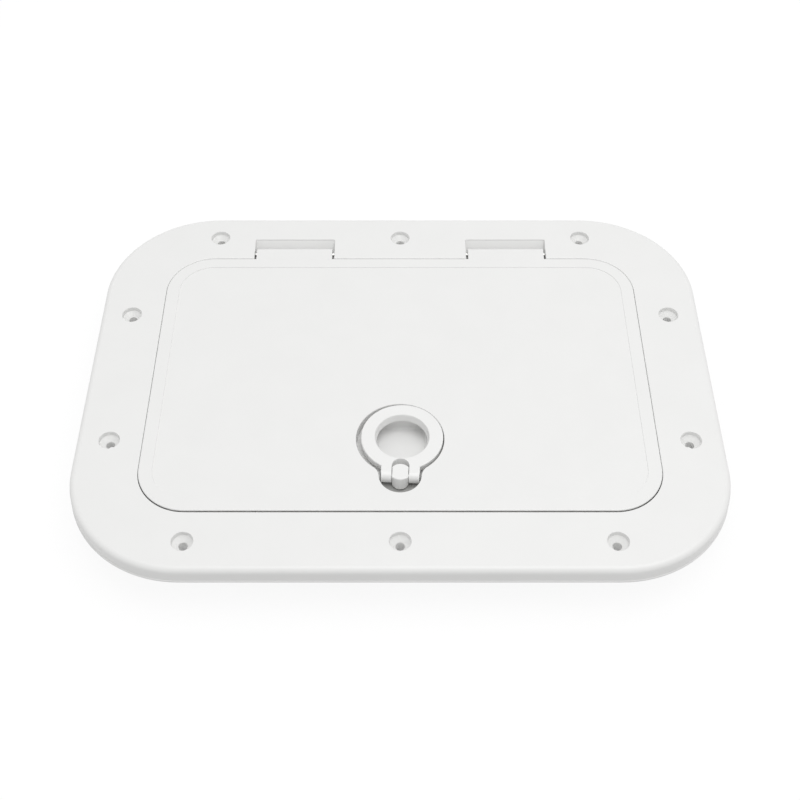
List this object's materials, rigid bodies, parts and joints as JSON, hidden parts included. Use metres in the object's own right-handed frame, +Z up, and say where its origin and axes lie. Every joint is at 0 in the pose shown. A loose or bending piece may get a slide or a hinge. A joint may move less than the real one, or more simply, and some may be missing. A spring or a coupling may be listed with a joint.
{
  "type": "deck hatch",
  "caption": "Rectangular flush deck hatch: a wide flanged frame with rounded corners, a hinged sealing lid, and a lift ring over a finger dish that works a turning tongue.",
  "frame": {"origin": "under the middle of the frame, level with the collar's lower edge", "axes": "+X along the hinge line, +Y towards the hinges, +Z up out of the deck"},
  "size_m": [0.383, 0.283, 0.0382],
  "materials": {
    "white_plastic": "smooth moulded white plastic, satin gloss",
    "black_rubber": "matt black sealing rubber",
    "grey_rubber": "matt grey sealing rubber",
    "natural_nylon": "natural nylon",
    "stainless": "drawn stainless steel"
  },
  "bodies": {
    "frame": {"frame": "white_plastic", "hinge_pin_left": "stainless", "hinge_pin_right": "stainless", "pin_clip_left": "stainless", "pin_clip_right": "stainless"},
    "lid": {"lid": "white_plastic", "lid_seal": "black_rubber", "spindle_seal": "grey_rubber", "pivot_block": "white_plastic", "ring_pin": "stainless"},
    "ring": {"pull_ring": "white_plastic"},
    "tongue": {"spindle": "stainless", "thrust_washer": "natural_nylon", "latch_tongue": "white_plastic", "spring_washer": "stainless", "tongue_nut": "stainless"}
  },
  "joints": [
    {"name": "lid_hinge", "type": "hinge", "parent": "frame", "child": "lid", "pos_m": [0, 0.1093, 0.034], "axis": [-1, 0, 0], "range_deg": [0, 110]},
    {"name": "ring_lift", "type": "hinge", "parent": "lid", "child": "ring", "pos_m": [0.00006, -0.074, 0.034], "axis": [0.9991, -0.0419, 0], "range_deg": [0, 90]},
    {"name": "tongue_turn", "type": "hinge", "parent": "lid", "child": "tongue", "pos_m": [0, -0.0755, 0.0223], "axis": [0, 0, 1], "range_deg": [0, 90]}
  ]
}
